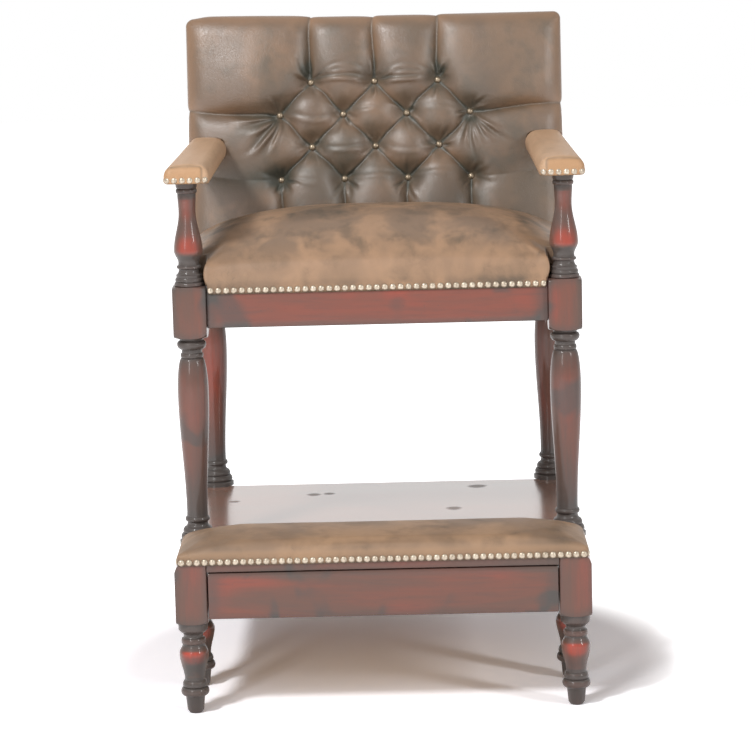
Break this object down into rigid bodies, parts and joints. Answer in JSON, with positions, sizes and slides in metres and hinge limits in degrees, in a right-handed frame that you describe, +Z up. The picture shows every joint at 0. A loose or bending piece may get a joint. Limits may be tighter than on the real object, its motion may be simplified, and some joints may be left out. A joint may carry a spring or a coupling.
{
  "type": "upholstered bar stool",
  "caption": "Bar-height armchair with button-tufted leather back, domed seat, padded arms, turned legs, and a padded footrest platform that holds a drawer.",
  "frame": {"origin": "on the floor, at the centre of the chair's bounding box", "axes": "+Z up, -Y the way the sitter faces, +X the chair's right side as seen from in front"},
  "size_m": [0.67, 0.7512, 1.0707],
  "materials": {
    "cherry_wood": "distressed red-brown stain under satin lacquer",
    "frame_wood": "bare planed poplar",
    "plywood": "bare plywood",
    "back_leather": "mottled antiqued brown",
    "seat_leather": "mottled antiqued tan",
    "arm_leather": "rubbed tan",
    "footrest_leather": "mottled antiqued tan",
    "antique_brass": "soft antique brass"
  },
  "bodies": {
    "chair": {"arm_board_left": "frame_wood", "arm_board_right": "frame_wood", "arm_pad_left": "arm_leather", "arm_pad_right": "arm_leather", "back_button_1_1": "antique_brass", "back_button_1_2": "antique_brass", "back_button_1_3": "antique_brass", "back_button_2_1": "antique_brass", "back_button_2_2": "antique_brass", "back_button_2_3": "antique_brass", "back_button_2_4": "antique_brass", "back_button_3_1": "antique_brass", "back_button_3_2": "antique_brass", "back_button_3_3": "antique_brass", "back_button_4_1": "antique_brass", "back_button_4_2": "antique_brass", "back_button_4_3": "antique_brass", "back_button_4_4": "antique_brass", "back_cushion": "back_leather", "back_lower_rail": "frame_wood", "back_top_rail": "frame_wood", "drawer_runner_left": "frame_wood", "drawer_runner_right": "frame_wood", "footrest_base": "frame_wood", "footrest_pad": "footrest_leather", "front_foot_left": "cherry_wood", "front_foot_right": "cherry_wood", "front_leg_left": "cherry_wood", "front_leg_right": "cherry_wood", "front_top_rail": "cherry_wood", "middle_foot_left": "cherry_wood", "middle_foot_right": "cherry_wood", "outside_back": "back_leather", "platform_board": "cherry_wood", "platform_front_side_rail_left": "cherry_wood", "platform_front_side_rail_right": "cherry_wood", "platform_rear_rail": "cherry_wood", "platform_rear_side_rail_left": "cherry_wood", "platform_rear_side_rail_right": "cherry_wood", "rear_foot_left": "cherry_wood", "rear_foot_right": "cherry_wood", "rear_leg_left": "cherry_wood", "rear_leg_right": "cherry_wood", "rear_seat_band": "seat_leather", "seat_corner_block_front_left": "frame_wood", "seat_corner_block_front_right": "frame_wood", "seat_corner_block_rear_left": "frame_wood", "seat_corner_block_rear_right": "frame_wood", "seat_cushion": "seat_leather", "seat_deck": "plywood", "seat_front_rail": "cherry_wood", "seat_rear_rail": "cherry_wood", "seat_side_rail_left": "cherry_wood", "seat_side_rail_right": "cherry_wood", "tufting_board": "plywood"},
    "drawer": {"drawer_front": "cherry_wood", "drawer_side_left": "frame_wood", "drawer_side_right": "frame_wood", "drawer_back": "frame_wood", "drawer_bottom": "plywood"}
  },
  "joints": [
    {"name": "drawer_slide", "type": "slide", "parent": "chair", "child": "drawer", "axis": [0, -1, 0], "range_m": [0, 0.3]}
  ]
}
